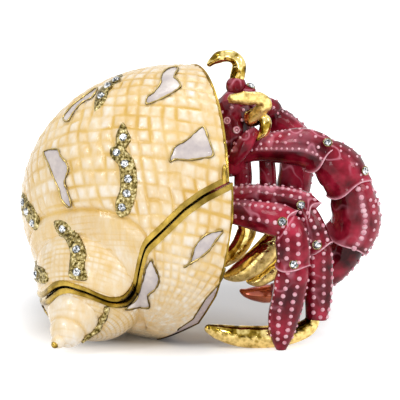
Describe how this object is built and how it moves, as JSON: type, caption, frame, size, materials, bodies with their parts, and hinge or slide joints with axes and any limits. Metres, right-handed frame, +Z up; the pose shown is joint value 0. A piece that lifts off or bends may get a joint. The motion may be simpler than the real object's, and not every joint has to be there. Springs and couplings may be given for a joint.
{
  "type": "trinket box",
  "caption": "Small enamelled trinket box shaped as a hermit crab: the whorled shell opens along a wavy seam on a hinge at the back, the crab stays on the lower half.",
  "frame": {"origin": "centre of the bounding box's underside, on the surface that the box stands on", "axes": "+Z up, +X from the shell towards the crab's claws, -Y towards the viewer of the pictured side; the hinge is at +Y"},
  "size_m": [0.0786, 0.0554, 0.0626],
  "materials": {
    "shell_enamel": "gloss enamel, cream with ochre grooves",
    "crab_enamel": "translucent raspberry enamel",
    "pearl_enamel": "pearly pale lilac enamel",
    "copper_enamel": "copper red translucent enamel",
    "gold": "polished gold plating",
    "crystal": "faceted clear crystal",
    "steel": "bright"
  },
  "bodies": {
    "base": {"base_shell": "shell_enamel", "base_rim": "gold", "base_lip": "gold", "spire": "shell_enamel", "spire_tip": "gold", "base_inlays": "pearl_enamel", "base_inlay_wires": "gold", "base_hinge": "gold", "hinge_pin": "steel", "base_magnet": "steel", "thorax": "crab_enamel", "carapace": "crab_enamel", "cheek": "crab_enamel", "eye_joints": "crab_enamel", "high_feeler": "gold", "low_feeler": "gold", "jaw": "gold", "claw_upper": "crab_enamel", "claw_elbow": "crab_enamel", "claw_hand": "crab_enamel", "claw_finger": "crab_enamel", "claw_tip": "copper_enamel", "far_upper": "crab_enamel", "far_hand": "crab_enamel", "inner_arm": "crab_enamel", "mid_arm": "crab_enamel", "pincer_front": "gold", "pincer_low": "gold", "pincer_top": "gold", "back_leg_upper": "crab_enamel", "back_leg_knee": "crab_enamel", "back_leg_shin": "crab_enamel", "toe": "gold", "front_leg_upper": "crab_enamel", "front_leg_knee": "crab_enamel", "front_leg_shin": "crab_enamel", "crab_crystals": "crystal"},
    "lid": {"lid_shell": "shell_enamel", "lid_rim": "gold", "lid_lip": "gold", "lid_inlays": "pearl_enamel", "lid_inlay_wires": "gold", "lid_patches": "gold", "lid_crystals": "crystal", "lid_hinge": "gold", "lid_magnet": "steel"}
  },
  "joints": [
    {"name": "lid_hinge", "type": "hinge", "parent": "base", "child": "lid", "pos_m": [-0.01845, 0.02483, 0.02308], "axis": [-0.8754, -0.2588, -0.4082], "range_deg": [0, 95]}
  ]
}
